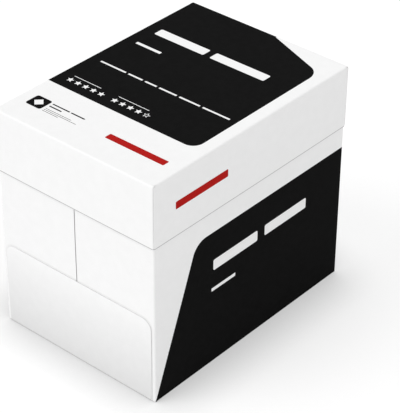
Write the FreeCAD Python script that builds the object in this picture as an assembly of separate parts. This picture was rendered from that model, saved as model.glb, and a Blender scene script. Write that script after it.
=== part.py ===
# A copier-paper carton with a lift-off lid, holding five wrapped reams of A4 paper.
# Millimetres, +Z up, origin at the middle of the underside. +X runs along the carton's length,
# and the long side whose printed field starts at the bottom corner of the -X end faces -Y.

import FreeCAD, Part

import math
import os
from dataclasses import dataclass

# A4 sheets and the wrapper of a pack
sheet_length = 297.0
sheet_width = 210.0
sheet_thickness = 0.1048
sheets_per_ream = 500
ream_count = 5
wrap_ply = 0.2
end_fold_ply = 0.4
end_fold_reach = 36.0
lap_seam_width = 30.0
pack_edge_radius = 0.8

# Room left round the stacked packs
end_room = 2.4
side_room = 2.8
head_room = 2.9

# Board, folds and gaps that both blanks share
board = 0.6
fold_inner_radius = 1.6
glue_gap = 0.1
slot_clearance = 0.2
lid_play = 0.3

# Tray
seam_gap = 0.6
dust_flap_foot_taper = 3.0
outer_flap_height = 103.5
outer_flap_inset = 4.6
outer_flap_corner = 12.0

# Lid
lid_depth = 74.0
glue_tab_reach = 40.0
glue_tab_taper = 6.0
end_skirt_inset = 0.6
end_skirt_corner = 2.0

# Printed fields
ink_depth = 0.1
ink_wrap_share = 0.25
field_slant_deg = 20.5
slant_corner_radius = 21.0
square_corner_radius = 13.0
side_field_height = 169.0
top_field_end_margin = 78.0
top_field_front_margin = 15.6
top_slant_from_front = 105.0
bleed = 5.0

# Sizes that follow from the ones above
ream_length = sheet_length + 2 * (wrap_ply + 3 * end_fold_ply)
ream_width = sheet_width + 2 * wrap_ply
ream_thickness = sheets_per_ream * sheet_thickness + 3 * wrap_ply
fold_radius = fold_inner_radius + board
ink_wrap = ink_wrap_share * fold_radius

tray_length = ream_length + 2 * (end_room + board)
tray_width = ream_width + 2 * (side_room + board)
lid_underside = board + ream_count * ream_thickness + head_room
tray_height = lid_underside - fold_inner_radius

lid_tab_length = tray_length + 2 * (lid_play + board)
lid_length = lid_tab_length + 2 * (glue_gap + board)
lid_width = tray_width + 2 * (lid_play + board)
carton_height = lid_underside + board

# Planes that a section is drawn in: (u, v) is (Y, Z), (X, Z) or (X, Y)
ALONG_X = FreeCAD.Vector(1, 0, 0)
ALONG_Y = FreeCAD.Vector(0, 1, 0)
ALONG_Z = FreeCAD.Vector(0, 0, 1)
CROSS_SECTION = FreeCAD.Rotation(ALONG_Y, ALONG_Z, ALONG_X)
LONG_SECTION = FreeCAD.Rotation(ALONG_X, ALONG_Z, -ALONG_Y)
PLAN = FreeCAD.Rotation()
CENTRE = FreeCAD.Vector(0, 0, 0)


@dataclass
class Blank:
    """Outside sizes of a panel with four walls, standing with the panel at the bottom."""

    length: float
    width: float
    height: float
    tuck_reach: float
    tuck_foot_taper: float
    tuck_rim_taper: float
    end_height: float
    end_inset: float
    end_corner: float


TRAY = Blank(
    length=tray_length,
    width=tray_width,
    height=tray_height,
    tuck_reach=(tray_width - seam_gap) / 2,
    tuck_foot_taper=dust_flap_foot_taper,
    tuck_rim_taper=0,
    end_height=outer_flap_height,
    end_inset=outer_flap_inset,
    end_corner=outer_flap_corner,
)
LID = Blank(
    length=lid_tab_length,
    width=lid_width,
    height=lid_depth,
    tuck_reach=glue_tab_reach,
    tuck_foot_taper=glue_tab_taper,
    tuck_rim_taper=glue_tab_taper,
    end_height=lid_depth,
    end_inset=end_skirt_inset,
    end_corner=end_skirt_corner,
)


def corner_arc(before, corner, after, radius):
    """First, middle and last point of the arc that rounds a corner between two straight sides."""
    back = (before - corner).normalize()
    ahead = (after - corner).normalize()
    half_angle = back.getAngle(ahead) / 2
    tangent = radius / math.tan(half_angle)
    bisector = (back + ahead).normalize()
    middle = corner + bisector * (radius / math.sin(half_angle) - radius)
    return corner + back * tangent, middle, corner + ahead * tangent


def rounded_face(corners):
    """A flat face through (u, v, radius) corners, where a radius of 0 leaves a corner sharp."""
    points = [FreeCAD.Vector(u, v, 0) for u, v, _ in corners]
    following = points[1:] + points[:1]
    edges = []
    side_ends = []
    for index, (_, _, radius) in enumerate(corners):
        corner = points[index]
        if radius == 0:
            side_ends.append((corner, corner))
            continue
        first, middle, last = corner_arc(points[index - 1], corner, following[index], radius)
        edges.append(Part.Arc(first, middle, last).toShape())
        side_ends.append((first, last))
    for index, (arrival, _) in enumerate(side_ends):
        departure = side_ends[index - 1][1]
        if not departure.isEqual(arrival, 1e-6):
            edges.append(Part.makeLine(departure, arrival))
    return Part.Face(Part.Wire(Part.__sortEdges__(edges)))


def extrude(face, plane, start, end):
    """Stand a face in its plane and sweep it straight, from start to end along the plane's normal."""
    normal = plane.multVec(ALONG_Z)
    placed = face.copy()
    placed.Placement = FreeCAD.Placement(normal * start, plane)
    return placed.extrude(normal * (end - start))


def fuse_all(solids):
    """Join touching solids into one, without the seams between them."""
    return solids[0].fuse(solids[1:]).removeSplitter()


def both_ends(solid):
    """A solid and its mirror image at the other end of the carton."""
    return [solid, solid.mirror(CENTRE, ALONG_X)]


def all_corners(solid):
    """A solid and its mirror images at the other three corners of the carton."""
    return [copy for end in both_ends(solid) for copy in (end, end.mirror(CENTRE, ALONG_Y))]


def panel_and_walls(blank, ply):
    """The main panel with both long walls folded up from it."""
    outer = blank.width / 2
    inner = outer - ply
    outer_bend = fold_radius
    inner_bend = fold_radius - ply
    section = rounded_face([
        (-outer, blank.height, 0),
        (-outer, 0, outer_bend),
        (outer, 0, outer_bend),
        (outer, blank.height, 0),
        (inner, blank.height, 0),
        (inner, ply, inner_bend),
        (-inner, ply, inner_bend),
        (-inner, blank.height, 0),
    ])
    reach = blank.length / 2 - fold_radius
    return extrude(section, CROSS_SECTION, -reach, reach)


def tucked_flap(blank, ply):
    """The flap folded in from a long wall's end, at the +X -Y corner, and tapered past its fold."""
    wall_end = blank.length / 2 - fold_radius
    outer_x = blank.length / 2
    outer_y = -blank.width / 2
    fold_end_y = outer_y + fold_radius
    free_y = outer_y + blank.tuck_reach
    foot = board + slot_clearance
    section = rounded_face([
        (wall_end, outer_y, 0),
        (outer_x, outer_y, fold_radius),
        (outer_x, free_y, 0),
        (outer_x - ply, free_y, 0),
        (outer_x - ply, outer_y + ply, fold_radius - ply),
        (wall_end, outer_y + ply, 0),
    ])
    outline = rounded_face([
        (outer_y, foot, 0),
        (fold_end_y, foot, 0),
        (free_y, foot + blank.tuck_foot_taper, 0),
        (free_y, blank.height - blank.tuck_rim_taper, 0),
        (fold_end_y, blank.height, 0),
        (outer_y, blank.height, 0),
    ])
    square_flap = extrude(section, PLAN, foot, blank.height)
    return square_flap.common(extrude(outline, CROSS_SECTION, wall_end, outer_x))


def end_flap(blank, ply):
    """The flap folded up from the panel's +X edge, glued over the two tucked flaps."""
    panel_end = blank.length / 2 - fold_radius
    outer_x = blank.length / 2 + glue_gap + board
    section = rounded_face([
        (panel_end, 0, 0),
        (outer_x, 0, fold_radius),
        (outer_x, blank.end_height, 0),
        (outer_x - ply, blank.end_height, 0),
        (outer_x - ply, ply, fold_radius - ply),
        (panel_end, ply, 0),
    ])
    half_width = blank.width / 2 - blank.end_inset
    outline = rounded_face([
        (-half_width, 0, 0),
        (half_width, 0, 0),
        (half_width, blank.end_height, blank.end_corner),
        (-half_width, blank.end_height, blank.end_corner),
    ])
    square_flap = extrude(section, LONG_SECTION, -half_width, half_width)
    return square_flap.common(extrude(outline, CROSS_SECTION, panel_end, outer_x))


def folded_blank(blank, ply):
    """The whole blank, folded up."""
    flaps = all_corners(tucked_flap(blank, ply)) + both_ends(end_flap(blank, ply))
    return fuse_all([panel_and_walls(blank, ply)] + flaps)


def turned_over(solid):
    """A solid that stands on the panel of its blank, turned over to lie at the carton's top."""
    over = FreeCAD.Placement(FreeCAD.Vector(0, 0, carton_height), FreeCAD.Rotation(ALONG_X, 180))
    moved = solid.copy()
    moved.Placement = over.multiply(solid.Placement)
    return moved


def lid_field():
    """The top's printed field: rounded at the front, slanted at the +X end, off the other edges."""
    slope = math.tan(math.radians(field_slant_deg))
    near = -lid_length / 2 + top_field_end_margin
    front = -lid_width / 2 + top_field_front_margin
    slant_y = -lid_width / 2 + top_slant_from_front
    slant_x = lid_length / 2 - (slant_y - front) * slope
    far = lid_length / 2 + bleed
    back = lid_width / 2 + bleed
    return rounded_face([
        (near, front, square_corner_radius),
        (slant_x, front, slant_corner_radius),
        (far, slant_y + bleed / slope, 0),
        (far, back, 0),
        (near, back, 0),
    ])


def side_field():
    """The long side's printed field: slanted up from a bottom corner, off the other two edges."""
    slope = math.tan(math.radians(field_slant_deg))
    foot = -tray_length / 2
    far = tray_length / 2 + bleed
    return rounded_face([
        (foot - bleed * slope, -bleed, 0),
        (far, -bleed, 0),
        (far, side_field_height, 0),
        (foot + side_field_height * slope, side_field_height, slant_corner_radius),
    ])


def lid_ink():
    """The outermost skin of the lid's board, inside the top's field."""
    skin = fuse_all([panel_and_walls(LID, ink_depth)] + both_ends(end_flap(LID, ink_depth)))
    field = extrude(lid_field(), PLAN, carton_height - ink_wrap, carton_height + bleed)
    return turned_over(skin).common(field)


def front_ink():
    """The outermost skin of the tray's board, inside the long side's field."""
    skin = fuse_all([panel_and_walls(TRAY, ink_depth)] + all_corners(tucked_flap(TRAY, ink_depth)))
    front = tray_width / 2
    field = extrude(side_field(), LONG_SECTION, front - ink_wrap, front + bleed)
    return skin.common(field)


def wrapped_ream():
    """A sealed pack: the wrapper's lap seam is underneath and its ends are folded like a parcel."""
    end_x = sheet_length / 2 + wrap_ply
    half_width = ream_width / 2
    block = rounded_face([
        (-half_width, wrap_ply, pack_edge_radius),
        (half_width, wrap_ply, pack_edge_radius),
        (half_width, ream_thickness, pack_edge_radius),
        (-half_width, ream_thickness, pack_edge_radius),
    ])
    half_lap = lap_seam_width / 2
    lap = rounded_face([
        (-half_lap, 0, 0),
        (half_lap, 0, 0),
        (half_lap, wrap_ply, 0),
        (-half_lap, wrap_ply, 0),
    ])
    body = [extrude(face, CROSS_SECTION, -end_x, end_x) for face in (block, lap)]
    folds = [copy for fold in end_folds(end_x) for copy in both_ends(fold)]
    return fuse_all(body + folds)


def end_folds(end_x):
    """The three layers on a pack's +X end: side tucks, then the lower flap, then the upper flap."""
    half_width = ream_width / 2 - pack_edge_radius
    low = wrap_ply + pack_edge_radius
    high = ream_thickness - pack_edge_radius
    inner = half_width - end_fold_reach
    tucks = [
        rounded_face([(side * half_width, low, 0), (side * inner, low, 0),
                      (side * inner, high, 0), (side * half_width, high, 0)])
        for side in (-1, 1)
    ]
    lower = rounded_face([
        (-half_width, low, 0),
        (half_width, low, 0),
        (inner, low + end_fold_reach, 0),
        (-inner, low + end_fold_reach, 0),
    ])
    upper = rounded_face([
        (-half_width, high, 0),
        (half_width, high, 0),
        (inner, high - end_fold_reach, 0),
        (-inner, high - end_fold_reach, 0),
    ])
    layers = [(tucks[0], 1), (tucks[1], 1), (lower, 2), (upper, 3)]
    return [
        extrude(face, CROSS_SECTION, end_x, end_x + count * end_fold_ply)
        for face, count in layers
    ]


def stacked_reams():
    """The packs lying flat on each other on the tray's bottom panel, lowest first."""
    pack = wrapped_ream()
    reams = {}
    for index in range(ream_count):
        ream = pack.copy()
        ream.translate(ALONG_Z * (board + index * ream_thickness))
        reams[f"ream_{index + 1}"] = ream
    return reams


def build():
    """Every piece of the closed carton, by name."""
    lid_print = lid_ink()
    front_print = front_ink()
    back_print = front_print.copy()
    back_print.rotate(CENTRE, ALONG_Z, 180)
    pieces = {
        "base_tray": folded_blank(TRAY, board).cut([front_print, back_print]),
        "lid": turned_over(folded_blank(LID, board)).cut(lid_print),
        "lid_print": lid_print,
        "front_print": front_print,
        "back_print": back_print,
    }
    pieces.update(stacked_reams())
    return pieces


os.makedirs("parts", exist_ok=True)
for name, shape in build().items():
    shape.exportStep(f"parts/{name}.step")
    box = shape.BoundBox
    print(f"{name}: {len(shape.Solids)} solid, {box.XLength:.2f} x {box.YLength:.2f} x "
          f"{box.ZLength:.2f}, from z {box.ZMin:.2f}, volume {shape.Volume:.0f}, valid {shape.isValid()}")
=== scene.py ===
import math
from collections import namedtuple

import bmesh
import bpy
from mathutils import Matrix, Vector
from mathutils.geometry import area_tri, delaunay_2d_cdt


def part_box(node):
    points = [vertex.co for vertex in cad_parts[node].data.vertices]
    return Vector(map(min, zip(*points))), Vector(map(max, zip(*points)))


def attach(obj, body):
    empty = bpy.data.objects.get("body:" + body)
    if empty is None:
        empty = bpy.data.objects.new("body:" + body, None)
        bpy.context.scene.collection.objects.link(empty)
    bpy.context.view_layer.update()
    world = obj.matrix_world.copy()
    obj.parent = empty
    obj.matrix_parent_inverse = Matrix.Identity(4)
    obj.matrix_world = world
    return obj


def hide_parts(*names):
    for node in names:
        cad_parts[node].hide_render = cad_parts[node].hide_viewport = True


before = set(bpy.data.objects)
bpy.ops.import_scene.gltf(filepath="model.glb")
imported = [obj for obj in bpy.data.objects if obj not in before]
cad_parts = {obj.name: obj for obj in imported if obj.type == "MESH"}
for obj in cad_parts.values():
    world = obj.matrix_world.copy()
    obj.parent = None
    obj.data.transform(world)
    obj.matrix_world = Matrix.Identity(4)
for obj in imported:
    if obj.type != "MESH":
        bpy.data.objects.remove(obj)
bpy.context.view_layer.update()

# The dressed carton: two folded blanks, their print, the packs inside, and the floor and light

# Board and folds, in metres
MM = 0.001
BOARD = 0.6 * MM
FOLD_RADIUS = 2.2 * MM
FOLD_ARC = FOLD_RADIUS * math.pi / 2
GLUE_GAP = 0.1 * MM
SLOT_CLEARANCE = 0.2 * MM
EDGE_ROUNDING = 0.22 * MM

# Tray
SEAM_GAP = 1.0 * MM
DUST_FLAP_FOOT_TAPER = 3 * MM
OUTER_FLAP_HEIGHT = 103.5 * MM
OUTER_FLAP_INSET = 4.6 * MM
OUTER_FLAP_CORNER = 12 * MM

# Lid
GLUE_TAB_REACH = 40 * MM
GLUE_TAB_TAPER = 6 * MM
END_SKIRT_INSET = 0.6 * MM
END_SKIRT_CORNER = 2 * MM

# How far each panel bows out of its plane
WALL_BOW = 0.5 * MM
OUTER_FLAP_BOW = 0.9 * MM
OUTER_FLAP_LIFT = 0.15 * MM
DUST_FLAP_BOW = 0.2 * MM
LID_TOP_SAG = 0.4 * MM
LID_SKIRT_BOW = 0.3 * MM

# Painted shade and painted shadow lines on the board, where a level is a share of its own white
FLAP_SHADE_LEVEL = 0.78
FOOT_SHADOW_HEIGHT = 0.9 * MM
FOOT_SHADOW_LEVEL = 0.45
LIP_SHADOW_HEIGHT = 0.7 * MM
LIP_SHADOW_LEVEL = 0.5
OUTLINE_SHADOW_WIDTH = 3.2 * MM
OUTLINE_SHADOW_LEVEL = 0.9

# Printed fields
INK_LIFT = 0.03 * MM
INK_THICKNESS = 0.08 * MM
INK_WRAP_SHARE = 0.25
INK_REACH = FOLD_RADIUS * math.acos(1 - INK_WRAP_SHARE)
FIELD_SLANT = math.tan(math.radians(20.5))
SLANT_CORNER_RADIUS = 21 * MM
SQUARE_CORNER_RADIUS = 13 * MM
TOP_FIELD_FRONT_MARGIN = 15.6 * MM
TOP_SLANT_FROM_FRONT = 105 * MM

# Marks in the place of words
MARK_LIFT = 0.08 * MM
BAR_ROUNDING_SHARE = 0.15
STAR_POINTS = 5
STAR_RADII = (4.4 * MM, 2.0 * MM)
STAR_PITCH = 11 * MM
STAR_MIDDLE = -61 * MM
OPEN_STAR_SHARE = 0.6
OPEN_STAR_LIFT = 2 * MARK_LIFT
BADGE_SIGN_RADIUS = 6.5 * MM
BADGE_SIGN_CORNERS = 4

# Packs of paper
PACK_COUNT = 5
PACK_EDGE_RADIUS = 1.6 * MM
END_FOLD_LAYERS = 3
END_FOLD_PLY = 0.4 * MM
END_FOLD_REACH = 36 * MM
LAP_SEAM_WIDTH = 30 * MM
WRAPPER_PLY = 0.2 * MM
WRAPPER_SINK = 0.6 * MM
WRAPPER_WAVE = 22 * MM

# How finely the meshes are cut
GRID_STEP = 8 * MM
PACK_GRID_STEP = 15 * MM
FOLD_STEPS = 8
PACK_EDGE_STEPS = 4
EDGE_SEGMENTS = 2
ROUND_PROFILE = 0.5
ARC_STEPS = 12
ARC_STEP_LENGTH = 0.5 * MM
STEP_SLACK = 1e-6
GRID_MARGIN = 0.2 * MM
WELD = 0.001 * MM
LEAST_AREA = 1e-6 * MM * MM

# Camera, as fitted to the photograph's edges, with the lens in millimetres
CAMERA_PLACE = Vector((-1.20318, -1.06905, 1.21745))
CAMERA_AZIMUTH = math.radians(-49.3446)
CAMERA_ELEVATION = math.radians(34.3132)
CAMERA_ROLL = math.radians(0.4375)
CAMERA_LENS = 156.828
CAMERA_REACH = 50

# Light and floor
SKY_LEVEL = 0.77
KEY_STRENGTH = 0.31 * math.pi
KEY_FROM = Vector((-0.21, 0.12, 0.26))
KEY_ANGLE = math.radians(35)
FLOOR_COLOUR = 0.9
FLOOR_SEEN = 1.05
FLOOR_GLOW = 0.56
CONTACT_DARK = 0.5
CONTACT_REACH = 60 * MM
FLOOR_SIZE = 12

# The part of a noise's range that a colour is spread over
NOISE_LOW = 0.35
NOISE_HIGH = 0.65

# The folded sizes, taken from the frame
tray_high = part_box("base_tray")[1]
lid_low, lid_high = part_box("lid")
FLAP_FACE_X = tray_high.x
TUCK_FACE_X = FLAP_FACE_X - BOARD - GLUE_GAP
WALL_FACE_Y = tray_high.y
RIM_Z = tray_high.z
LID_FACE_X = lid_high.x
LID_TAB_X = LID_FACE_X - BOARD - GLUE_GAP
LID_FACE_Y = lid_high.y
TOP_Z = lid_high.z
LID_LOW_Z = lid_low.z
LID_DEPTH = TOP_Z - LID_LOW_Z
TOP_FIELD_NEAR_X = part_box("lid_print")[0].x
SIDE_FIELD_TOP_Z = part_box("front_print")[1].z
PACK_HALF_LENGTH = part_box("ream_1")[1].x - END_FOLD_LAYERS * END_FOLD_PLY
PACK_HALF_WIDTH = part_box("ream_1")[1].y
PACK_FLAT_X = PACK_HALF_LENGTH - PACK_EDGE_RADIUS
PACK_FLAT_Y = PACK_HALF_WIDTH - PACK_EDGE_RADIUS


# Materials

def grey(level):
    """A neutral colour."""
    return (level, level, level)


class Shader:
    """A material's node tree, with short ways to add and link its nodes."""

    def __init__(self, name, specular):
        self.material = bpy.data.materials.new(name)
        self.material.use_nodes = True
        self.tree = self.material.node_tree
        self.surface = self.tree.nodes["Principled BSDF"]
        self.surface.inputs["Specular IOR Level"].default_value = specular

    def link(self, start, output, end, socket):
        """Join a node's output to another node's input."""
        self.tree.links.new(start.outputs[output], end.inputs[socket])

    def noise(self, scale, detail=3.0):
        """Even noise, fixed to the object, with scale grains to the metre."""
        place = self.tree.nodes.new("ShaderNodeTexCoord")
        texture = self.tree.nodes.new("ShaderNodeTexNoise")
        texture.inputs["Scale"].default_value = scale
        texture.inputs["Detail"].default_value = detail
        self.link(place, "Object", texture, "Vector")
        return texture

    def colour(self, texture, dark, light):
        """Spread the surface's colour between two tones."""
        ramp = self.tree.nodes.new("ShaderNodeValToRGB")
        first, last = ramp.color_ramp.elements
        first.position = NOISE_LOW
        last.position = NOISE_HIGH
        first.color = (*dark, 1)
        last.color = (*light, 1)
        self.link(texture, "Fac", ramp, "Fac")
        self.link(ramp, "Color", self.surface, "Base Color")

    def roughness(self, texture, low, high):
        """Spread the surface's roughness between two values."""
        spread = self.tree.nodes.new("ShaderNodeMapRange")
        spread.inputs["To Min"].default_value = low
        spread.inputs["To Max"].default_value = high
        self.link(texture, "Fac", spread, "Value")
        self.link(spread, "Result", self.surface, "Roughness")

    def height_fade(self, start, end, level):
        """A level that goes evenly from the given one at height start to 1 at height end."""
        place = self.tree.nodes.new("ShaderNodeTexCoord")
        parts = self.tree.nodes.new("ShaderNodeSeparateXYZ")
        fade = self.tree.nodes.new("ShaderNodeMapRange")
        fade.inputs["From Min"].default_value = start
        fade.inputs["From Max"].default_value = end
        fade.inputs["To Min"].default_value = level
        fade.inputs["To Max"].default_value = 1
        self.link(place, "Object", parts, "Vector")
        self.link(parts, "Z", fade, "Value")
        return fade

    def vector_math(self, operation, start, output, value=(0, 0, 0)):
        """A vector node with a fixed second operand, where the operation has one."""
        node = self.tree.nodes.new("ShaderNodeVectorMath")
        node.operation = operation
        node.inputs[1].default_value = value
        self.link(start, output, node, 0)
        return node

    def outline_fade(self, half_width, height, corner, width, level):
        """A level that is lowest at the edge of a flap with round corners, and 1 beyond width.

        The flap is straight up to the half width and the height given, and rounded beyond them.
        """
        place = self.tree.nodes.new("ShaderNodeTexCoord")
        folded = self.vector_math("ABSOLUTE", place, "Object")
        flat = self.vector_math("MULTIPLY", folded, "Vector", (0, 1, 1))  # leaves Y and Z
        past = self.vector_math("SUBTRACT", flat, "Vector", (0, half_width, height))
        outside = self.vector_math("MAXIMUM", past, "Vector")
        distance = self.vector_math("LENGTH", outside, "Vector")
        fade = self.tree.nodes.new("ShaderNodeMapRange")
        fade.inputs["From Min"].default_value = corner
        fade.inputs["From Max"].default_value = corner + width
        fade.inputs["To Min"].default_value = level
        fade.inputs["To Max"].default_value = 1
        self.link(distance, "Value", fade, "Value")
        return fade

    def darken(self, fade):
        """Multiply the colour by a level."""
        colour = self.surface.inputs["Base Color"].links[0].from_socket
        product = self.tree.nodes.new("ShaderNodeVectorMath")
        product.operation = "MULTIPLY"
        self.tree.links.new(colour, product.inputs[0])
        self.link(fade, "Result", product, 1)
        self.link(product, "Vector", self.surface, "Base Color")

    def bump(self, texture, depth):
        """Give the surface a fine relief."""
        bump = self.tree.nodes.new("ShaderNodeBump")
        bump.inputs["Distance"].default_value = depth
        self.link(texture, "Fac", bump, "Height")
        self.link(bump, "Normal", self.surface, "Normal")


def coated(name):
    """The board's outer side: white, smooth and faintly mottled."""
    shader = Shader(name, specular=0.3)
    shader.colour(shader.noise(scale=90), dark=grey(0.925), light=grey(0.94))
    fibres = shader.noise(scale=1800, detail=4)
    shader.roughness(fibres, low=0.42, high=0.56)
    shader.bump(fibres, depth=0.004 * MM)
    return shader


def coated_board():
    """The tray's walls and bottom, and the white marks: the plain coated board."""
    return coated("coated_board").material


def shaded_flap_board():
    """The tray's outer flaps: the same board, with painted shade towards the floor and a painted shadow
    along its foot.
    """
    shader = coated("shaded_flap_board")
    # Painted shade: greyer towards the floor, then a darker painted contact shadow along the foot
    shader.darken(shader.height_fade(0, OUTER_FLAP_HEIGHT, FLAP_SHADE_LEVEL))
    shader.darken(shader.height_fade(FOOT_SHADOW_HEIGHT, 2 * FOOT_SHADOW_HEIGHT, FOOT_SHADOW_LEVEL))
    return shader.material


def outline_shaded_tuck_board():
    """The tray's dust flaps: the same board, with a painted shadow as a thin grey line round the outer
    flap.
    """
    shader = coated("outline_shaded_tuck_board")
    # Painted shadow: grey round the outer flap's edge, where it shades the dust flap beside it
    line = shader.outline_fade(half_width=WALL_FACE_Y - OUTER_FLAP_INSET - OUTER_FLAP_CORNER,
                               height=OUTER_FLAP_HEIGHT - OUTER_FLAP_CORNER,
                               corner=OUTER_FLAP_CORNER, width=OUTLINE_SHADOW_WIDTH, level=OUTLINE_SHADOW_LEVEL)
    shader.darken(line)
    return shader.material


def lid_board():
    """The lid's outer side: the same board, with a painted shadow line along its lower lip."""
    shader = coated("lid_board")
    # Painted shadow: the lid's lowest band is darkened where its edge overhangs the tray
    start = LID_LOW_Z + LIP_SHADOW_HEIGHT
    shader.darken(shader.height_fade(start, start + LIP_SHADOW_HEIGHT, LIP_SHADOW_LEVEL))
    return shader.material


def bare_board():
    """The board's inner side: uncoated, a little greyer and rougher."""
    shader = Shader("bare_board", specular=0.15)
    fibres = shader.noise(scale=900, detail=6)
    shader.colour(fibres, dark=grey(0.76), light=grey(0.84))
    shader.roughness(fibres, low=0.75, high=0.95)
    shader.bump(fibres, depth=0.02 * MM)
    return shader.material


def raw_edge():
    """The board's cut edge: rough fibres between the two faces."""
    shader = Shader("raw_edge", specular=0.1)
    fibres = shader.noise(scale=1400, detail=5)
    shader.colour(fibres, dark=grey(0.74), light=grey(0.86))
    shader.roughness(fibres, low=0.85, high=1.0)
    shader.bump(fibres, depth=0.03 * MM)
    return shader.material


def black_ink():
    """Solid black print with a faint sheen."""
    shader = Shader("black_ink", specular=0.005)
    shader.colour(shader.noise(scale=140), dark=grey(0.0070), light=grey(0.0082))
    fibres = shader.noise(scale=1800, detail=4)
    shader.roughness(fibres, low=0.45, high=0.6)
    shader.bump(fibres, depth=0.003 * MM)
    return shader.material


def red_ink():
    """Solid red print, as flat as the black."""
    shader = Shader("red_ink", specular=0.03)
    mottle = shader.noise(scale=140)
    shader.colour(mottle, dark=(0.42, 0.008, 0.006), light=(0.46, 0.010, 0.008))
    shader.roughness(shader.noise(scale=1800, detail=4), low=0.45, high=0.6)
    return shader.material


def wrapper_paper():
    """The packs' wrapper: white paper with soft creases."""
    shader = Shader("wrapper_paper", specular=0.25)
    creases = shader.noise(scale=28, detail=5)
    shader.colour(creases, dark=grey(0.86), light=grey(0.90))
    shader.roughness(shader.noise(scale=1500, detail=4), low=0.5, high=0.65)
    shader.bump(creases, depth=0.25 * MM)
    return shader.material


COATED = coated_board()
FLAP_COATED = shaded_flap_board()
TUCK_COATED = outline_shaded_tuck_board()
LID_COATED = lid_board()
BARE = bare_board()
EDGE = raw_edge()
BLACK = black_ink()
RED = red_ink()
PAPER = wrapper_paper()


# How a panel folds and bows

def wrap(distance, reach):
    """Along a panel that folds at reach: how far out a point lies, how far down, and its turn."""
    past = distance - (reach - FOLD_RADIUS)
    if past <= 0:
        return distance, 0.0, 0.0
    turn = min(past / FOLD_RADIUS, math.pi / 2)
    beyond = max(past - FOLD_ARC, 0.0)
    out = reach - FOLD_RADIUS + FOLD_RADIUS * math.sin(turn)
    return out, FOLD_RADIUS * (1 - math.cos(turn)) + beyond, turn


def arch(share):
    """1 in the middle of a span and 0 at its ends, for a share of the span from -1 to 1."""
    return max(1 - share * share, 0.0)


def hump(share):
    """1 in the middle of a span and level at its ends, for a share of the span from 0 to 1."""
    return math.sin(math.pi * min(max(share, 0.0), 1.0)) ** 2


def wall_bow(x, z):
    """How far a long wall of the tray bulges, below the lid."""
    span = hump((z - FOLD_RADIUS) / (LID_LOW_Z - FOLD_RADIUS))
    return WALL_BOW * arch(x / (TUCK_FACE_X - FOLD_RADIUS)) * span


def dust_flap_bow(y, z):
    """How far a dust flap stands out along the seam, between the outer flap and the lid."""
    span = hump((z - OUTER_FLAP_HEIGHT) / (LID_LOW_Z - OUTER_FLAP_HEIGHT))
    return DUST_FLAP_BOW * span * (1 - abs(y) / WALL_FACE_Y) ** 2


def outer_flap_bow(y, z):
    """How far an outer flap bulges below its glued top edge."""
    up = max((z - FOLD_RADIUS) / (OUTER_FLAP_HEIGHT - FOLD_RADIUS), 0.0)
    bulge = OUTER_FLAP_BOW * arch(2 * up - 1) + OUTER_FLAP_LIFT * up ** 2
    return bulge * arch(y / WALL_FACE_Y)


def lid_top_sag(x, y):
    """How far the lid's top hangs in the middle."""
    across = arch(y / (LID_FACE_Y - FOLD_RADIUS))
    return LID_TOP_SAG * arch(x / (LID_TAB_X - FOLD_RADIUS)) * across


def skirt_bow(along, reach, drop):
    """How far a skirt of the lid stands out towards its free edge."""
    return LID_SKIRT_BOW * arch(along / (reach - FOLD_RADIUS)) * (drop / LID_DEPTH) ** 2


def corner_press(y, half_y):
    """How far an end flap is pressed in, where it lies over the rounded corners of the walls."""
    past = min(max(abs(y) - (half_y - FOLD_RADIUS), 0.0), FOLD_RADIUS)
    return FOLD_RADIUS - math.sqrt(FOLD_RADIUS ** 2 - past ** 2)


# Places on the folded panels, for a point (u, v) of the flat panel and a lift off its face

def on_lid_top(u, v, lift):
    """The lid's top panel and the folds along its long edges."""
    out, drop, turn = wrap(abs(v), LID_FACE_Y)
    side = math.copysign(1, v)
    normal = Vector((0, side * math.sin(turn), math.cos(turn)))
    return Vector((u, side * out, TOP_Z - drop - lid_top_sag(u, v))) + normal * lift


def on_lid_end(u, v, lift):
    """The top's last stretch at the +X end and the fold there."""
    out, drop, turn = wrap(u, LID_FACE_X)
    normal = Vector((math.sin(turn), 0, math.cos(turn)))
    return Vector((out, v, TOP_Z - drop)) + normal * (lift - corner_press(v, LID_FACE_Y))


def on_front_skirt(u, v, lift):
    """The lid's long skirt at -Y, at height v."""
    return Vector((u, -LID_FACE_Y - skirt_bow(u, LID_TAB_X, TOP_Z - v) - lift, v))


def on_front_wall(u, v, lift):
    """The tray's long wall at -Y, at height v, and the fold at its foot."""
    down, inset, turn = wrap(-v, 0)
    normal = Vector((0, -math.cos(turn), -math.sin(turn)))
    return Vector((u, inset - WALL_FACE_Y - wall_bow(u, -down), -down)) + normal * lift


def on_front_corner(u, v, lift):
    """The folds at both ends of the long wall at -Y, at height v."""
    out, inset, turn = wrap(abs(u), TUCK_FACE_X)
    end = math.copysign(1, u)
    normal = Vector((end * math.sin(turn), -math.cos(turn), 0))
    return Vector((end * out, inset - WALL_FACE_Y, v)) + normal * lift


def read_across_lid(along, up, lift):
    """The lid's top as it is read from the -X end: along runs towards -Y and up towards +X."""
    return on_lid_top(up, -along, lift)


def on_other_side(place):
    """The same panel, turned half round to the other side of the carton."""
    def other_place(u, v, lift):
        point = place(u, v, lift)
        return Vector((-point.x, -point.y, point.z))
    return other_place


Side = namedtuple("Side", "wall corner skirt")
FRONT = Side(wall=on_front_wall, corner=on_front_corner, skirt=on_front_skirt)
BACK = Side(*(on_other_side(place) for place in FRONT))


# Meshes

def steps(start, end, size=GRID_STEP):
    """Even stations from start to end, both included."""
    count = max(1, math.ceil(abs(end - start) / size - STEP_SLACK))
    return [start + (end - start) * index / count for index in range(count + 1)]


def fold_stations(reach):
    """Stations round the fold at reach, in flat lengths."""
    start = reach - FOLD_RADIUS
    return steps(start, start + FOLD_ARC, FOLD_ARC / FOLD_STEPS)


def both_signs(stations):
    """Stations from the middle out, repeated on the negative side."""
    return sorted({-station for station in stations} | set(stations))


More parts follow.
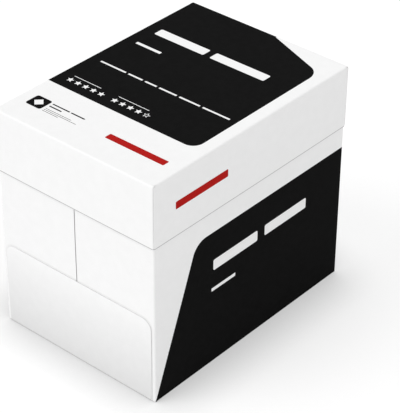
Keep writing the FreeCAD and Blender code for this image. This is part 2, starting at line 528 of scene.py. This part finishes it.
def add_patch(work, rows, bow, material=0):
    """Add rows of (point, outward normal) pairs, each moved out along its normal by bow(point)."""
    grid = [[work.verts.new(point + normal * bow(point)) for point, normal in row] for row in rows]
    (first, outward), (beside, _), (above, _) = rows[0][0], rows[0][1], rows[1][0]
    inwards = (beside - first).cross(above - first).dot(outward) < 0
    for low, high in zip(grid, grid[1:]):
        for corners in zip(low, low[1:], high[1:], high):
            face = work.faces.new(corners[::-1] if inwards else corners)
            face.material_index = material


def thicken(work, thickness, back_material=0, rim_material=0):
    """Close an open sheet: a copy of it one thickness inwards, and the cut edge between the two."""
    bmesh.ops.remove_doubles(work, verts=work.verts, dist=WELD)
    work.normal_update()
    inner = {vertex: work.verts.new(vertex.co - vertex.normal * thickness)
             for vertex in list(work.verts)}
    rims = [(edge.link_loops[0].link_loop_next.vert, edge.link_loops[0].vert)
            for edge in work.edges if edge.is_boundary]
    for face in list(work.faces):
        face.smooth = True
        back = work.faces.new([inner[vertex] for vertex in reversed(face.verts)])
        back.smooth = True
        back.material_index = back_material
    for start, end in rims:
        rim = work.faces.new([start, end, inner[end], inner[start]])
        rim.material_index = rim_material


def round_cut_edges(work, rim_material):
    """Crush the corners of the cut edge, as a die leaves them."""
    corners = [edge for edge in work.edges
               if [face.material_index for face in edge.link_faces].count(rim_material) == 1]
    rounded = bmesh.ops.bevel(work, geom=corners, offset=EDGE_ROUNDING, segments=EDGE_SEGMENTS,
                              profile=ROUND_PROFILE, affect="EDGES", material=rim_material)
    for face in rounded["faces"]:
        face.smooth = False
    bmesh.ops.dissolve_degenerate(work, dist=WELD, edges=work.edges)


def keep_creases(work):
    """Mark the edges of flat-shaded faces sharp, so that smooth faces beside them stay even."""
    for edge in work.edges:
        edge.smooth = all(face.smooth for face in edge.link_faces)


def finish_piece(name, work, materials, body):
    """Turn a mesh in the making into a piece that rides on a body."""
    keep_creases(work)
    mesh = bpy.data.meshes.new(name)
    work.to_mesh(mesh)
    work.free()
    for material in materials:
        mesh.materials.append(material)
    piece = bpy.data.objects.new(name, mesh)
    bpy.context.scene.collection.objects.link(piece)
    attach(piece, body)
    return piece


# The two folded blanks, each standing on its panel

# The order of a blank's materials
FACE, BACK_FACE, CUT_EDGE, END_FACE, TUCK_FACE = range(5)

# Outside sizes: tucked flaps at tuck_x, end flaps over them at end_x, long walls at half_y
Blank = namedtuple("Blank", "tuck_x end_x half_y height tuck_reach foot_taper rim_taper "
                            "end_height end_half end_corner")
Bows = namedtuple("Bows", "panel wall tuck end")

TRAY = Blank(
    tuck_x=TUCK_FACE_X,
    end_x=FLAP_FACE_X,
    half_y=WALL_FACE_Y,
    height=RIM_Z,
    tuck_reach=WALL_FACE_Y - SEAM_GAP / 2,
    foot_taper=DUST_FLAP_FOOT_TAPER,
    rim_taper=0,
    end_height=OUTER_FLAP_HEIGHT,
    end_half=WALL_FACE_Y - OUTER_FLAP_INSET,
    end_corner=OUTER_FLAP_CORNER,
)
TRAY_BOWS = Bows(
    panel=lambda point: 0.0,
    wall=lambda point: wall_bow(point.x, point.z),
    tuck=lambda point: dust_flap_bow(point.y, point.z),
    end=lambda point: outer_flap_bow(point.y, point.z),
)
LID = Blank(
    tuck_x=LID_TAB_X,
    end_x=LID_FACE_X,
    half_y=LID_FACE_Y,
    height=LID_DEPTH,
    tuck_reach=GLUE_TAB_REACH,
    foot_taper=GLUE_TAB_TAPER,
    rim_taper=GLUE_TAB_TAPER,
    end_height=LID_DEPTH,
    end_half=LID_FACE_Y - END_SKIRT_INSET,
    end_corner=END_SKIRT_CORNER,
)
LID_BOWS = Bows(
    panel=lambda point: -lid_top_sag(point.x, point.y),
    wall=lambda point: skirt_bow(point.x, LID_TAB_X, point.z),
    tuck=lambda point: 0.0,
    end=lambda point: skirt_bow(point.y, LID_FACE_Y, point.z) - corner_press(point.y, LID_FACE_Y),
)


def columns(blank):
    """Stations along the panel between its two end flaps."""
    return steps(FOLD_RADIUS - blank.tuck_x, blank.tuck_x - FOLD_RADIUS)


def end_columns(blank):
    """Stations across an end flap, closer together round its two free corners."""
    straight = blank.end_half - blank.end_corner
    turns = [math.pi / 2 * index / FOLD_STEPS for index in range(FOLD_STEPS + 1)]
    stations = steps(0, straight) + [straight + blank.end_corner * math.sin(turn) for turn in turns]
    flat = blank.half_y - FOLD_RADIUS
    if flat < blank.end_half:
        stations.append(flat)
    return both_signs(stations)


def panel_rows(blank):
    """Stations across the panel and round the folds at its two long edges."""
    flat = blank.half_y - FOLD_RADIUS
    panel = [station for station in end_columns(blank) if 0 <= station < flat]
    return both_signs(panel + fold_stations(blank.half_y))


def wall_heights(blank):
    """Stations up a wall, above its fold."""
    return steps(FOLD_RADIUS, blank.height)


def add_panel_and_walls(work, blank, bows):
    """The main panel and the two long walls: one profile across the carton, swept along it."""
    flat = blank.half_y - FOLD_RADIUS
    wall_foot = flat + FOLD_ARC
    walls = [wall_foot + height - FOLD_RADIUS for height in wall_heights(blank)[1:]]
    rows = []
    for station in sorted(set(panel_rows(blank)) | set(both_signs(walls))):
        out, up, turn = wrap(abs(station), blank.half_y)
        side = math.copysign(1, station)
        normal = Vector((0, side * math.sin(turn), -math.cos(turn)))
        rows.append([(Vector((x, side * out, up)), normal) for x in columns(blank)])

    def bow(point):
        return bows.panel(point) if abs(point.y) < flat else bows.wall(point)

    add_patch(work, rows, bow, material=FACE)


def tuck_heights(blank, share):
    """Heights up a tucked flap, at a share of the way from its fold to its tapered free edge."""
    foot = BOARD + SLOT_CLEARANCE
    low = foot + blank.foot_taper * share
    high = blank.height - blank.rim_taper * share
    stretch = (high - low) / (blank.height - foot)
    return [low + (height - foot) * stretch for height in [foot] + wall_heights(blank)]


def add_tucked_flap(work, blank, bows, end, side):
    """A flap folded in from a long wall's end, behind the end flap."""
    fold_end = blank.tuck_x - FOLD_RADIUS + FOLD_ARC
    free_edge = fold_end + blank.tuck_reach - FOLD_RADIUS
    rows = []
    for distance in fold_stations(blank.tuck_x)[:-1] + steps(fold_end, free_edge):
        out, inset, turn = wrap(distance, blank.tuck_x)
        share = max(distance - fold_end, 0) / (free_edge - fold_end)
        normal = Vector((end * math.sin(turn), side * math.cos(turn), 0))
        rows.append([(Vector((end * out, side * (blank.half_y - inset), height)), normal)
                     for height in tuck_heights(blank, share)])
    add_patch(work, rows, bows.tuck, material=TUCK_FACE)


def flap_top(blank, y):
    """The height of an end flap's free edge, which has two rounded corners."""
    beyond = max(abs(y) - (blank.end_half - blank.end_corner), 0.0)
    rise = math.sqrt(max(blank.end_corner ** 2 - beyond ** 2, 0.0))
    return blank.end_height - blank.end_corner + rise


def add_end_flap(work, blank, bows, end):
    """A flap folded up from the panel's end, over the tucked flaps."""
    rows = []
    for distance in [blank.tuck_x - FOLD_RADIUS] + fold_stations(blank.end_x)[:-1]:
        out, up, turn = wrap(distance, blank.end_x)
        normal = Vector((end * math.sin(turn), 0, -math.cos(turn)))
        rows.append([(Vector((end * out, y, up)), normal) for y in end_columns(blank)])
    for share in steps(0, 1, GRID_STEP / blank.end_height):
        row = []
        for y in end_columns(blank):
            height = FOLD_RADIUS + (flap_top(blank, y) - FOLD_RADIUS) * share
            row.append((Vector((end * blank.end_x, y, height)), Vector((end, 0, 0))))
        rows.append(row)
    add_patch(work, rows, bows.end, material=END_FACE)


def folded_blank(blank, bows):
    """A blank's folded sheet, with its thickness and its crushed cut edges."""
    work = bmesh.new()
    add_panel_and_walls(work, blank, bows)
    for end in (-1, 1):
        add_end_flap(work, blank, bows, end)
        for side in (-1, 1):
            add_tucked_flap(work, blank, bows, end, side)
    thicken(work, BOARD, back_material=BACK_FACE, rim_material=CUT_EDGE)
    round_cut_edges(work, rim_material=CUT_EDGE)
    return work


def make_tray():
    """The tray's folded board, in the place of its node."""
    work = folded_blank(TRAY, TRAY_BOWS)
    tray = finish_piece("folded_tray", work, (COATED, BARE, EDGE, FLAP_COATED, TUCK_COATED),
                        "carton")
    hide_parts("base_tray")


def make_lid():
    """The lid's folded board, made standing on its top panel and then turned over."""
    work = folded_blank(LID, LID_BOWS)
    turned_over = Matrix.Translation((0, 0, TOP_Z)) @ Matrix.Rotation(math.pi, 4, "X")
    bmesh.ops.transform(work, matrix=turned_over, verts=work.verts)
    lid = finish_piece("folded_lid", work, (LID_COATED, BARE, EDGE, LID_COATED, LID_COATED),
                       "lid")
    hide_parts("lid")


# Print: outlines in a panel's flat sizes, filled with triangles and laid on the panel

def rounded_outline(corners):
    """Points round (u, v, radius) corners, where a radius of 0 leaves a corner sharp."""
    points = []
    for index, (u, v, radius) in enumerate(corners):
        corner = Vector((u, v))
        if radius == 0:
            points.append(corner)
            continue
        before = Vector(corners[index - 1][:2])
        after = Vector(corners[(index + 1) % len(corners)][:2])
        back = (before - corner).normalized()
        ahead = (after - corner).normalized()
        half_angle = back.angle(ahead) / 2
        centre = corner + (back + ahead).normalized() * radius / math.sin(half_angle)
        first = corner + back * radius / math.tan(half_angle) - centre
        last = corner + ahead * radius / math.tan(half_angle) - centre
        sweep = -first.angle_signed(last)
        count = min(ARC_STEPS, math.ceil(abs(sweep) * radius / ARC_STEP_LENGTH) + 1)
        for step in range(count + 1):
            points.append(centre + Matrix.Rotation(sweep * step / count, 2) @ first)
    return points


def sharp_outline(*corners):
    """The same kind of outline with sharp corners only."""
    return [Vector(corner) for corner in corners]


def cut_at_lines(outline, lines, axis):
    """The outline with extra points where it crosses the lines."""
    cut = []
    for start, end in zip(outline, outline[1:] + outline[:1]):
        cut.append(start)
        low, high = sorted((start[axis], end[axis]))
        crossed = [line for line in lines if low + WELD < line < high - WELD]
        shares = sorted((line - start[axis]) / (end[axis] - start[axis]) for line in crossed)
        cut += [start.lerp(end, share) for share in shares]
    return cut


def well_inside(point, outline):
    """Whether a point lies inside an outline and not too near to it."""
    crossings = 0
    for start, end in zip(outline, outline[1:] + outline[:1]):
        side = end - start
        share = min(max((point - start).dot(side) / side.length_squared, 0), 1)
        if (point - start - side * share).length < GRID_MARGIN:
            return False
        if (start.y > point.y) != (end.y > point.y):
            crossings += point.x < start.x + side.x * (point.y - start.y) / side.y
    return crossings % 2 == 1


def add_print(work, outline, place, lift, u_lines, v_lines):
    """Fill an outline with triangles that meet the panel's lines, and lay it on the panel."""
    outline = cut_at_lines(cut_at_lines(outline, u_lines, 0), v_lines, 1)
    grid = [Vector((u, v)) for u in u_lines for v in v_lines]
    points = outline + [point for point in grid if well_inside(point, outline)]
    ring = [(index, (index + 1) % len(outline)) for index in range(len(outline))]
    flat, _, triangles, _, _, _ = delaunay_2d_cdt(points, ring, [], 1, WELD)
    filled = [triangle for triangle in triangles
              if area_tri(*(flat[index] for index in triangle)) > LEAST_AREA]
    used = sorted(set().union(*filled))
    spots = {index: work.verts.new(place(*flat[index], lift)) for index in used}
    for triangle in filled:
        work.faces.new([spots[index] for index in triangle])


def finish_print(name, work, material, body):
    """Give print its thickness and turn it into a piece."""
    thicken(work, INK_THICKNESS)
    return finish_piece(name, work, (material,), body)


# Stations of the panels that carry print
LID_U = columns(LID)
LID_V = panel_rows(LID)
LID_END_U = [LID_TAB_X - FOLD_RADIUS] + fold_stations(LID_FACE_X)
WALL_U = columns(TRAY)
WALL_V = [-distance for distance in fold_stations(0)[1:]] + wall_heights(TRAY)
WALL_CORNER_U = both_signs(fold_stations(TUCK_FACE_X))
MARK_LINES = steps(-LID_FACE_X, LID_FACE_X)


def lid_field_outlines():
    """The lid's field in two parts: on the top panel, and on the fold at its +X end.

    Here u runs towards +X and v towards +Y.
    """
    front = TOP_FIELD_FRONT_MARGIN - LID_FACE_Y
    slant_v = TOP_SLANT_FROM_FRONT - LID_FACE_Y
    slant_u = LID_FACE_X - (slant_v - front) * FIELD_SLANT
    cut_u = LID_TAB_X - FOLD_RADIUS
    cut_v = front + (cut_u - slant_u) / FIELD_SLANT
    back = LID_FACE_Y - FOLD_RADIUS + INK_REACH
    far = LID_FACE_X - FOLD_RADIUS + INK_REACH
    side = LID_FACE_Y - END_SKIRT_INSET
    top = rounded_outline([
        (TOP_FIELD_NEAR_X, front, SQUARE_CORNER_RADIUS),
        (slant_u, front, SLANT_CORNER_RADIUS),
        (cut_u, cut_v, 0),
        (cut_u, back, 0),
        (TOP_FIELD_NEAR_X, back, 0),
    ])
    end = rounded_outline([
        (cut_u, cut_v, 0),
        (far, cut_v, 0),
        (far, side, 0),
        (cut_u, side, 0),
    ])
    return top, end


def make_lid_field():
    """The lid's black field: round corners and a slant at the front, off its back and far edges."""
    top, end = lid_field_outlines()
    work = bmesh.new()
    add_print(work, top, on_lid_top, INK_LIFT, LID_U, LID_V)
    add_print(work, end, on_lid_end, INK_LIFT, LID_END_U, LID_V)
    field = finish_print("lid_field", work, BLACK, "lid")
    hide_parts("lid_print")


def side_field_outlines():
    """A long side's field in three parts: on the wall, and on the folds at its two ends.

    Here u runs towards +X on the front side, and v up the wall.
    """
    cut = TUCK_FACE_X - FOLD_RADIUS
    foot = FOLD_RADIUS - INK_REACH
    slot_v = BOARD + SLOT_CLEARANCE
    cut_v = FOLD_RADIUS / FIELD_SLANT
    end = cut + INK_REACH
    wall = rounded_outline([
        (-cut, foot, 0),
        (cut, foot, 0),
        (cut, SIDE_FIELD_TOP_Z, 0),
        (SIDE_FIELD_TOP_Z * FIELD_SLANT - TUCK_FACE_X, SIDE_FIELD_TOP_Z, SLANT_CORNER_RADIUS),
        (-cut, cut_v, 0),
    ])
    far_fold = rounded_outline([
        (cut, slot_v, 0),
        (end, slot_v, 0),
        (end, SIDE_FIELD_TOP_Z, 0),
        (cut, SIDE_FIELD_TOP_Z, 0),
    ])
    near_fold = rounded_outline([
        (-cut, slot_v, 0),
        (-cut, cut_v, 0),
        (-cut - (cut_v - slot_v) * FIELD_SLANT, slot_v, 0),
    ])
    return wall, far_fold, near_fold


def make_side_field(name, node, side):
    """A long side's black field: slanted up from a bottom corner, off the foot and the far end."""
    wall, *folds = side_field_outlines()
    work = bmesh.new()
    add_print(work, wall, side.wall, INK_LIFT, WALL_U, WALL_V)
    for fold in folds:
        add_print(work, fold, side.corner, INK_LIFT, WALL_CORNER_U, wall_heights(TRAY))
    field = finish_print(name, work, BLACK, "carton")
    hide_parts(node)


# Marks in the place of words: bars for the words, rows of stars and a plain badge

BarRow = namedtuple("BarRow", "foot height start lengths gap")
StarRow = namedtuple("StarRow", "start count")


def bar_row(foot, height, start, lengths, gap=0):
    """A row of bars, given in millimetres of the panel that it is read on."""
    return BarRow(foot * MM, height * MM, start * MM, [length * MM for length in lengths], gap * MM)


LID_WORDS = (
    bar_row(foot=70, height=13, start=-92, lengths=(70, 74), gap=9),
    bar_row(foot=41, height=4, start=-93, lengths=(35,)),
    bar_row(foot=-13, height=2.4, start=-94, lengths=(36, 20, 16, 24, 28, 36), gap=3.7),
    bar_row(foot=-53, height=0.8, start=-93, lengths=(38,)),
    bar_row(foot=-53, height=0.8, start=-30, lengths=(42,)),
)
LID_RED = bar_row(foot=-119.5, height=9, start=13, lengths=(78,))
SIDE_WORDS = (
    bar_row(foot=121, height=13, start=-63.4, lengths=(71, 70), gap=12),
    bar_row(foot=95, height=4, start=-66, lengths=(38,)),
)
SIDE_RED = bar_row(foot=227, height=9, start=-122, lengths=(79,))
STAR_ROWS = (
    StarRow(start=-91 * MM, count=5),
    StarRow(start=-28 * MM, count=5),
)
OPEN_STAR = StarRow(start=16 * MM, count=1)
BADGE = bar_row(foot=-124.5, height=19.5, start=-94, lengths=(21,))
BADGE_MIDDLE = (BADGE.start + BADGE.lengths[0] / 2, BADGE.foot + BADGE.height / 2)
BADGE_NOTES = (
    bar_row(foot=-109, height=1.8, start=-70, lengths=(24, 19), gap=2),
    bar_row(foot=-114, height=1.8, start=-70, lengths=(17,)),
    bar_row(foot=-119, height=0.6, start=-70, lengths=(36,)),
    bar_row(foot=-121.5, height=0.6, start=-70, lengths=(45,)),
    bar_row(foot=-124, height=0.6, start=-70, lengths=(22,)),
)


def bars(row):
    """The outlines of a row's bars, with rounded corners."""
    outlines = []
    start = row.start
    radius = row.height * BAR_ROUNDING_SHARE
    for length in row.lengths:
        outlines.append(rounded_outline([
            (start, row.foot, radius),
            (start + length, row.foot, radius),
            (start + length, row.foot + row.height, radius),
            (start, row.foot + row.height, radius),
        ]))
        start += length + row.gap
    return outlines


def turned_points(centre, radii):
    """Points round a centre, the first one straight up, at radii that take turns."""
    points = []
    for index, radius in enumerate(radii):
        angle = math.pi / 2 + 2 * math.pi * index / len(radii)
        across = centre[0] + radius * math.cos(angle)
        points.append(Vector((across, centre[1] + radius * math.sin(angle))))
    return points


def stars(row, share=1):
    """The outlines of a row of stars, at a share of their full size."""
    radii = [radius * share for radius in STAR_RADII] * STAR_POINTS
    return [turned_points((row.start + STAR_PITCH * index, STAR_MIDDLE), radii)
            for index in range(row.count)]


def make_marks(name, outlines, place, lift, material, body):
    """One piece of print for a list of outlines, on the lid's top or on a side."""
    work = bmesh.new()
    for outline in outlines:
        add_print(work, outline, place, lift, MARK_LINES, MARK_LINES)
    finish_print(name, work, material, body)


def make_lid_marks():
    """The marks on the lid's top: white ones on the black field, dark and red ones on the board."""
    words = [outline for row in LID_WORDS for outline in bars(row)]
    rated = [outline for row in STAR_ROWS for outline in stars(row)]
    notes = [outline for row in BADGE_NOTES for outline in bars(row)]
    sign = turned_points(BADGE_MIDDLE, [BADGE_SIGN_RADIUS] * BADGE_SIGN_CORNERS)
    place = read_across_lid
    make_marks("lid_words", words + rated, place, MARK_LIFT, COATED, "lid")
    make_marks("lid_badge", bars(BADGE) + notes, place, INK_LIFT, BLACK, "lid")
    make_marks("lid_badge_sign", [sign], place, MARK_LIFT, COATED, "lid")
    open_star = stars(OPEN_STAR, OPEN_STAR_SHARE)
    make_marks("lid_open_star", open_star, place, OPEN_STAR_LIFT, BLACK, "lid")
    make_marks("lid_red_bar", bars(LID_RED), place, INK_LIFT, RED, "lid")


def make_side_marks(name, side):
    """The marks on a long side: white ones on the tray's field and a red one on the lid's skirt."""
    words = [outline for row in SIDE_WORDS for outline in bars(row)]
    make_marks(f"{name}_words", words, side.wall, MARK_LIFT, COATED, "carton")
    make_marks(f"{name}_red_bar", bars(SIDE_RED), side.skirt, INK_LIFT, RED, "lid")


# Packs of paper, each in a wrapper with a lap seam underneath and parcel folds at its ends

def pack_waves(x, y, phase):
    """How far the wrapper sinks between a pack's edges, differently on each pack."""
    share = (2 + math.sin(x / WRAPPER_WAVE + phase) + math.sin(y / WRAPPER_WAVE - 2 * phase)) / 4
    return WRAPPER_SINK * share * arch(x / PACK_HALF_LENGTH) * arch(y / PACK_HALF_WIDTH)


def pack_stations():
    """Places along a pack, with the turn of the surface there: round both ends and straight between."""
    turns = [math.pi / 2 * index / PACK_EDGE_STEPS for index in range(PACK_EDGE_STEPS + 1)]
    stations = [(-PACK_FLAT_X, -turn) for turn in reversed(turns)]
    stations += [(x, 0.0) for x in steps(-PACK_FLAT_X, PACK_FLAT_X, PACK_GRID_STEP)[1:-1]]
    return stations + [(PACK_FLAT_X, turn) for turn in turns]


def pack_rows(low, high):
    """Closed loops round a pack, from its -X end to its +X end."""
    flat_low = low + PACK_EDGE_RADIUS
    flat_high = high - PACK_EDGE_RADIUS
    outline = rounded_outline([
        (-PACK_HALF_WIDTH, low, PACK_EDGE_RADIUS),
        (PACK_HALF_WIDTH, low, PACK_EDGE_RADIUS),
        (PACK_HALF_WIDTH, high, PACK_EDGE_RADIUS),
        (-PACK_HALF_WIDTH, high, PACK_EDGE_RADIUS),
    ])
    outline = cut_at_lines(outline, steps(-PACK_FLAT_Y, PACK_FLAT_Y, PACK_GRID_STEP), 0)
    rows = []
    for x, turn in pack_stations():
        row = []
        for point in outline + outline[:1]:
            core = Vector((min(max(point.x, -PACK_FLAT_Y), PACK_FLAT_Y),
                           min(max(point.y, flat_low), flat_high)))
            away = (point - core).normalized() * math.cos(turn)
            normal = Vector((math.sin(turn), away.x, away.y))
            row.append((Vector((x, core.x, core.y)) + normal * PACK_EDGE_RADIUS, normal))
        rows.append(row)
    return rows


def add_pack_block(work, low, high, phase):
    """A pack's closed body, with rounded edges and a wrapper that sinks between them."""
    add_patch(work, pack_rows(low, high), lambda point: -pack_waves(point.x, point.y, phase))
    bmesh.ops.remove_doubles(work, verts=work.verts, dist=WELD)
    bmesh.ops.holes_fill(work, edges=work.edges)
    bmesh.ops.recalc_face_normals(work, faces=work.faces)
    for face in work.faces:
        face.smooth = True


def on_pack_end(end):
    """The panel at a pack's -X or +X end, turned so that its front is the outer side."""
    def place(y, z, lift):
        return Vector((end * (PACK_HALF_LENGTH + lift), end * y, z))
    return place


def under_pack(low):
    """The panel underneath a pack, turned so that its front is the outer side."""
    def place(x, y, lift):
        return Vector((x, -y, low - lift))
    return place


def end_fold_layers(low, high):
    """The outlines of a pack's end folds, layer by layer: side tucks, lower flap, upper flap."""
    outer = PACK_FLAT_Y
    inner = PACK_FLAT_Y - END_FOLD_REACH
    tucks = [sharp_outline((side * outer, low), (side * inner, low),
                           (side * inner, high), (side * outer, high)) for side in (-1, 1)]
    lower = sharp_outline((-outer, low), (outer, low),
                          (inner, low + END_FOLD_REACH), (-inner, low + END_FOLD_REACH))
    upper = sharp_outline((-outer, high), (outer, high),
                          (inner, high - END_FOLD_REACH), (-inner, high - END_FOLD_REACH))
    return tucks, [lower], [upper]


def add_wrapper_folds(work, low, high):
    """The folded layers on both ends and the lap seam underneath."""
    layers = end_fold_layers(low + PACK_EDGE_RADIUS, high - PACK_EDGE_RADIUS)
    for number, outlines in enumerate(layers, start=1):
        for outline in outlines:
            for end in (-1, 1):
                add_print(work, outline, on_pack_end(end), number * END_FOLD_PLY, [], [])
    half_lap = LAP_SEAM_WIDTH / 2
    seam = sharp_outline((-PACK_FLAT_X, -half_lap), (PACK_FLAT_X, -half_lap),
                         (PACK_FLAT_X, half_lap), (-PACK_FLAT_X, half_lap))
    add_print(work, seam, under_pack(low), WRAPPER_PLY, [], [])


def make_pack(number):
    """One wrapped pack, in the place of its node. Only the folds need a thickness of their own."""
    node = f"ream_{number}"
    bottom, top = (corner.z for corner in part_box(node))
    low = bottom + WRAPPER_PLY
    work = bmesh.new()
    add_wrapper_folds(work, low, top)
    thicken(work, WRAPPER_PLY)
    folds = bpy.data.meshes.new("folds")
    work.to_mesh(folds)
    work.clear()
    add_pack_block(work, low, top, phase=number)
    work.from_mesh(folds)
    bpy.data.meshes.remove(folds)
    pack = finish_piece(f"pack_{number}", work, (PAPER,), "carton")
    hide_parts(node)


# Floor, light and camera

def make_floor():
    """A flat sheet at height 0 that takes no part in the object."""
    work = bmesh.new()
    bmesh.ops.create_grid(work, x_segments=1, y_segments=1, size=FLOOR_SIZE / 2)
    mesh = bpy.data.meshes.new("floor")
    work.to_mesh(mesh)
    work.free()
    mesh.materials.append(floor_paint())
    floor = bpy.data.objects.new("floor", mesh)
    bpy.context.scene.collection.objects.link(floor)


def seen_floor(tree):
    """What the camera sees: half lit and half glowing, with a painted contact shadow round the object's
    foot.
    """
    # Painted shadow: ambient occlusion darkens the floor's colour near the object
    contact = tree.nodes.new("ShaderNodeAmbientOcclusion")
    contact.inputs["Distance"].default_value = CONTACT_REACH
    level = tree.nodes.new("ShaderNodeMapRange")
    level.inputs["To Min"].default_value = CONTACT_DARK
    level.inputs["To Max"].default_value = FLOOR_SEEN
    lit = tree.nodes.new("ShaderNodeBsdfDiffuse")
    glow = tree.nodes.new("ShaderNodeEmission")
    both = tree.nodes.new("ShaderNodeMixShader")
    both.inputs["Fac"].default_value = FLOOR_GLOW
    tree.links.new(contact.outputs["AO"], level.inputs["Value"])
    tree.links.new(level.outputs["Result"], lit.inputs["Color"])
    tree.links.new(level.outputs["Result"], glow.inputs["Color"])
    tree.links.new(lit.outputs["BSDF"], both.inputs[1])
    tree.links.new(glow.outputs["Emission"], both.inputs[2])
    return both


def floor_paint():
    """Pale and matt for the light that it throws back, with a look of its own for the camera."""
    paint = bpy.data.materials.new("floor_paint")
    paint.use_nodes = True
    tree = paint.node_tree
    tree.nodes.clear()
    matt = tree.nodes.new("ShaderNodeBsdfDiffuse")
    matt.inputs["Color"].default_value = (*grey(FLOOR_COLOUR), 1)
    rays = tree.nodes.new("ShaderNodeLightPath")
    chosen = tree.nodes.new("ShaderNodeMixShader")
    output = tree.nodes.new("ShaderNodeOutputMaterial")
    tree.links.new(rays.outputs["Is Camera Ray"], chosen.inputs["Fac"])
    tree.links.new(matt.outputs["BSDF"], chosen.inputs[1])
    tree.links.new(seen_floor(tree).outputs["Shader"], chosen.inputs[2])
    tree.links.new(chosen.outputs["Shader"], output.inputs["Surface"])
    return paint


def light_world():
    """An even sky that is white to the camera and in reflections, and softer as a light."""
    world = bpy.data.worlds.new("studio")
    world.use_nodes = True
    bpy.context.scene.world = world
    tree = world.node_tree
    background = tree.nodes["Background"]
    rays = tree.nodes.new("ShaderNodeLightPath")
    white = rays.outputs["Is Camera Ray"]
    for kind in ("Is Glossy Ray", "Is Transmission Ray"):
        either = tree.nodes.new("ShaderNodeMath")
        either.operation = "MAXIMUM"
        tree.links.new(white, either.inputs[0])
        tree.links.new(rays.outputs[kind], either.inputs[1])
        white = either.outputs["Value"]
    level = tree.nodes.new("ShaderNodeMapRange")
    level.inputs["To Min"].default_value = SKY_LEVEL
    level.inputs["To Max"].default_value = 1
    tree.links.new(white, level.inputs["Value"])
    tree.links.new(level.outputs["Result"], background.inputs["Strength"])
    background.inputs["Color"].default_value = (1, 1, 1, 1)


def light_key():
    """One broad, soft sun from above."""
    lamp = bpy.data.lights.new("key", "SUN")
    lamp.energy = KEY_STRENGTH
    lamp.angle = KEY_ANGLE
    key = bpy.data.objects.new("key", lamp)
    key.rotation_euler = KEY_FROM.to_track_quat("Z", "Y").to_euler()
    bpy.context.scene.collection.objects.link(key)


def make_camera():
    """The photograph's view, from its place, its two angles and its roll."""
    level = math.cos(CAMERA_ELEVATION)
    back = Vector((math.sin(CAMERA_AZIMUTH) * level, -math.cos(CAMERA_AZIMUTH) * level,
                   math.sin(CAMERA_ELEVATION)))
    right = (-back).cross(Vector((0, 0, 1))).normalized()
    up = right.cross(-back)
    across = right * math.cos(CAMERA_ROLL) + up * math.sin(CAMERA_ROLL)
    upward = up * math.cos(CAMERA_ROLL) - right * math.sin(CAMERA_ROLL)
    lens = bpy.data.cameras.new("camera")
    lens.lens = CAMERA_LENS
    lens.clip_end = CAMERA_REACH
    camera = bpy.data.objects.new("camera", lens)
    turn = Matrix((across, upward, back)).transposed().to_4x4()
    camera.matrix_world = Matrix.Translation(CAMERA_PLACE) @ turn
    bpy.context.scene.collection.objects.link(camera)
    bpy.context.scene.camera = camera


# The scene

make_tray()
make_lid()
make_lid_field()
make_side_field("front_field", "front_print", FRONT)
make_side_field("back_field", "back_print", BACK)
make_lid_marks()
make_side_marks("front", FRONT)
make_side_marks("back", BACK)
for number in range(1, PACK_COUNT + 1):
    make_pack(number)
make_floor()
light_world()
light_key()
make_camera()
bpy.context.scene.view_settings.view_transform = "Standard"
